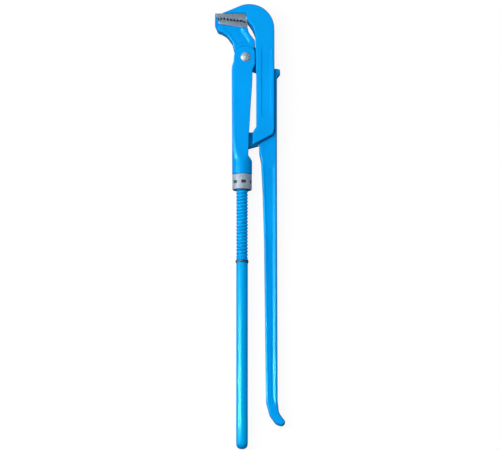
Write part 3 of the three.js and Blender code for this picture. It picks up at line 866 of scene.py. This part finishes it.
def build_sky(settings):
    """Even light from all round, dark overhead so that flat faces keep their colour."""
    world = bpy.data.worlds.new("Studio")
    bpy.context.scene.world = world
    world.use_nodes = True
    tree = world.node_tree
    background = tree.nodes["Background"]
    where = add_node(tree, "ShaderNodeTexCoord").outputs["Generated"]
    height = add_node(tree, "ShaderNodeSeparateXYZ", {"Vector": where}).outputs["Z"]
    above = spread(tree, height, 0.35, 0.8, settings.fill, 0.0)
    below = spread(tree, height, -0.15, 0.1, settings.fill_below, 1.0)
    tree.links.new(times(tree, above, below), background.inputs["Strength"])
    background.inputs["Color"].default_value = (0.97, 0.985, 1.0, 1.0)


def build_stage(settings):
    """Pale floor, soft studio lights, and the camera above the handles."""
    build_floor(settings)
    build_sky(settings)
    area_light("Key", (-1.75, 0.1, 1.5), (0.0, 0.0, 0.0), (0.8, 2.6), settings.key)
    area_light("Overhead", (-0.3, 0.5, 2.2), (0.0, 0.0, 0.0), (1.6, 1.6), settings.overhead, False)
    area_light("Right", (2.0, 0.2, 1.2), (0.0, 0.0, 0.0), (0.8, 2.0), settings.right, False)
    place, aim = (-1.55, 0.1, 1.35), (0.0, 0.1, 0.0)
    area_light("Strip", place, aim, STRIP_SIZE, settings.strip, diffuse=False)
    area_light("Front", (-0.9, -1.9, 0.8), (0.0, 0.1, 0.0), (1.2, 0.7), settings.front, False)

    # The camera looks ten degrees off straight down, from the handle end, with a long lens.
    tilt = math.radians(10)
    up = Vector((0, math.cos(tilt), math.sin(tilt)))
    ahead = Vector((0, math.sin(tilt), -math.cos(tilt)))
    rivet = Vector((RIVET_X, RIVET_Y, FACE_TOP)) * MM
    aim = rivet + Vector((1, 0, 0)) * 5.02 * MM - up * 187.3 * MM
    distance, width = 5.0, 0.5575
    data = bpy.data.cameras.new("Camera")
    data.lens = data.sensor_width * distance / width
    data.clip_end = 50
    camera = bpy.data.objects.new("Camera", data)
    bpy.context.scene.collection.objects.link(camera)
    camera.location = aim - ahead * distance
    camera.rotation_euler = (tilt, 0, 0)
    bpy.context.scene.camera = camera
    bpy.context.scene.view_settings.view_transform = "Standard"


# ---- add-on ----
class WrenchSettings(bpy.types.PropertyGroup):
    """Colours, finish and light of the pipe wrench."""

    paint: bpy.props.FloatVectorProperty(
        name="Paint", description="Enamel colour", subtype="COLOR", size=3,
        default=(0.0, 0.335, 0.90), min=0, max=1,
    )  # fmt: skip
    # Colour of the thin edge film, also used as the painted highlight on edges and on the thread's
    # crests.
    edge_film_and_highlight: bpy.props.FloatVectorProperty(
        name="Paint on edges", description="Thin film of enamel over edges", subtype="COLOR",
        size=3, default=(0.0, 0.62, 0.95), min=0, max=1,
    )  # fmt: skip
    jaw_steel: bpy.props.FloatVectorProperty(
        name="Jaw steel", description="Bare toothed steel", subtype="COLOR", size=3,
        default=(0.17, 0.225, 0.28), min=0, max=1,
    )  # fmt: skip
    zinc: bpy.props.FloatVectorProperty(
        name="Zinc", description="Plating of the adjusting nut", subtype="COLOR", size=3,
        default=(0.33, 0.41, 0.50), min=0, max=1,
    )  # fmt: skip
    rivet_colour: bpy.props.FloatVectorProperty(
        name="Rivet", description="Bright steel of the rivet", subtype="COLOR", size=3,
        default=(0.44, 0.53, 0.62), min=0, max=1,
    )  # fmt: skip
    ring_colour: bpy.props.FloatVectorProperty(
        name="Stop ring", description="Blackened steel", subtype="COLOR", size=3,
        default=(0.008, 0.05, 0.10), min=0, max=1,
    )  # fmt: skip
    gloss: bpy.props.FloatProperty(
        name="Enamel roughness", description="Lower is glossier", default=0.12, min=0.05, max=0.9,
    )  # fmt: skip
    # Amount of the lighter edge film, which is partly a painted highlight.
    wear_and_highlight: bpy.props.FloatProperty(
        name="Edge wear", description="How much the film thins on edges", default=0.8, min=0, max=1,
    )  # fmt: skip
    thread_depth: bpy.props.FloatProperty(
        name="Thread depth", description="Crest to root of the thread, in millimetres",
        default=0.85, min=0.2, max=1.6,
    )  # fmt: skip
    fill: bpy.props.FloatProperty(
        name="Fill", description="Light from all round", default=0.30, min=0,
    )  # fmt: skip
    fill_below: bpy.props.FloatProperty(
        name="Fill from below", description="Share of the fill below the horizon",
        default=0.12, min=0, max=1,
    )  # fmt: skip
    key: bpy.props.FloatProperty(
        name="Key", description="Light from the left", default=42.0, unit="POWER",
    )  # fmt: skip
    overhead: bpy.props.FloatProperty(
        name="Overhead", description="Light from above", default=26.0, unit="POWER",
    )  # fmt: skip
    right: bpy.props.FloatProperty(
        name="Right", description="Weak light from the right", default=3.0, unit="POWER",
    )  # fmt: skip
    strip: bpy.props.FloatProperty(
        name="Strip", description="Narrow light that draws the streaks on the gloss",
        default=42.0, unit="POWER",
    )  # fmt: skip
    front: bpy.props.FloatProperty(
        name="Front", description="Low light from the handles", default=11.0, unit="POWER",
    )  # fmt: skip
    floor_glow: bpy.props.FloatProperty(
        name="Floor glow", description="Lift of the paper", default=0.90, min=0,
    )  # fmt: skip


class WRENCH_OT_lever(bpy.types.Operator):
    """Build the long lever with the lower jaw"""

    bl_idname = "wrench.lever"
    bl_label = "Long lever"

    def execute(self, context):
        build_lever(context.scene.wrench)
        return {"FINISHED"}


class WRENCH_OT_hook(bpy.types.Operator):
    """Build the hook with the upper jaw"""

    bl_idname = "wrench.hook"
    bl_label = "Hook jaw"

    def execute(self, context):
        build_hook(context.scene.wrench)
        return {"FINISHED"}


class WRENCH_OT_sheath(bpy.types.Operator):
    """Build the sheath with its eye and socket"""

    bl_idname = "wrench.sheath"
    bl_label = "Sheath"

    def execute(self, context):
        build_sheath(context.scene.wrench)
        return {"FINISHED"}


class WRENCH_OT_jaw_strips(bpy.types.Operator):
    """Build the toothed strips of both jaws"""

    bl_idname = "wrench.jaw_strips"
    bl_label = "Toothed strips"

    def execute(self, context):
        build_jaw_strips(context.scene.wrench)
        return {"FINISHED"}


class WRENCH_OT_screw_handle(bpy.types.Operator):
    """Build the screw handle with its thread"""

    bl_idname = "wrench.screw_handle"
    bl_label = "Screw handle"

    def execute(self, context):
        build_screw_handle(context.scene.wrench)
        return {"FINISHED"}


class WRENCH_OT_nut(bpy.types.Operator):
    """Build the slotted adjusting nut"""

    bl_idname = "wrench.nut"
    bl_label = "Adjusting nut"

    def execute(self, context):
        build_nut(context.scene.wrench)
        return {"FINISHED"}


class WRENCH_OT_fasteners(bpy.types.Operator):
    """Build the rivet, the link pin and the nut's wire ring"""

    bl_idname = "wrench.fasteners"
    bl_label = "Rivet, pin and wire ring"

    def execute(self, context):
        build_fasteners(context.scene.wrench)
        return {"FINISHED"}


class WRENCH_OT_stop_ring(bpy.types.Operator):
    """Build the dark ring under the thread"""

    bl_idname = "wrench.stop_ring"
    bl_label = "Stop ring"

    def execute(self, context):
        build_stop_ring(context.scene.wrench)
        return {"FINISHED"}


class WRENCH_OT_stage(bpy.types.Operator):
    """Build the floor, the lights and the camera"""

    bl_idname = "wrench.stage"
    bl_label = "Stage"

    def execute(self, context):
        build_stage(context.scene.wrench)
        return {"FINISHED"}


OPERATORS = (
    WRENCH_OT_stage,
    WRENCH_OT_lever,
    WRENCH_OT_hook,
    WRENCH_OT_sheath,
    WRENCH_OT_jaw_strips,
    WRENCH_OT_screw_handle,
    WRENCH_OT_nut,
    WRENCH_OT_fasteners,
    WRENCH_OT_stop_ring,
)


class WRENCH_PT_panel(bpy.types.Panel):
    """Settings and build steps of the pipe wrench"""

    bl_idname = "WRENCH_PT_panel"
    bl_label = "Pipe wrench"
    bl_space_type = "VIEW_3D"
    bl_region_type = "UI"
    bl_category = "Pipe wrench"

    def draw(self, context):
        column = self.layout.column()
        for key in WrenchSettings.__annotations__:
            column.prop(context.scene.wrench, key)
        for operator in OPERATORS:
            column.operator(operator.bl_idname)


CLASSES = (WrenchSettings, *OPERATORS, WRENCH_PT_panel)


def register():
    for kind in CLASSES:
        bpy.utils.register_class(kind)
    bpy.types.Scene.wrench = bpy.props.PointerProperty(type=WrenchSettings)


def unregister():
    del bpy.types.Scene.wrench
    for kind in reversed(CLASSES):
        bpy.utils.unregister_class(kind)


def main():
    register()
    for operator in OPERATORS:
        group, name = operator.bl_idname.split(".")
        getattr(getattr(bpy.ops, group), name)()


if __name__ == "__main__":
    main()
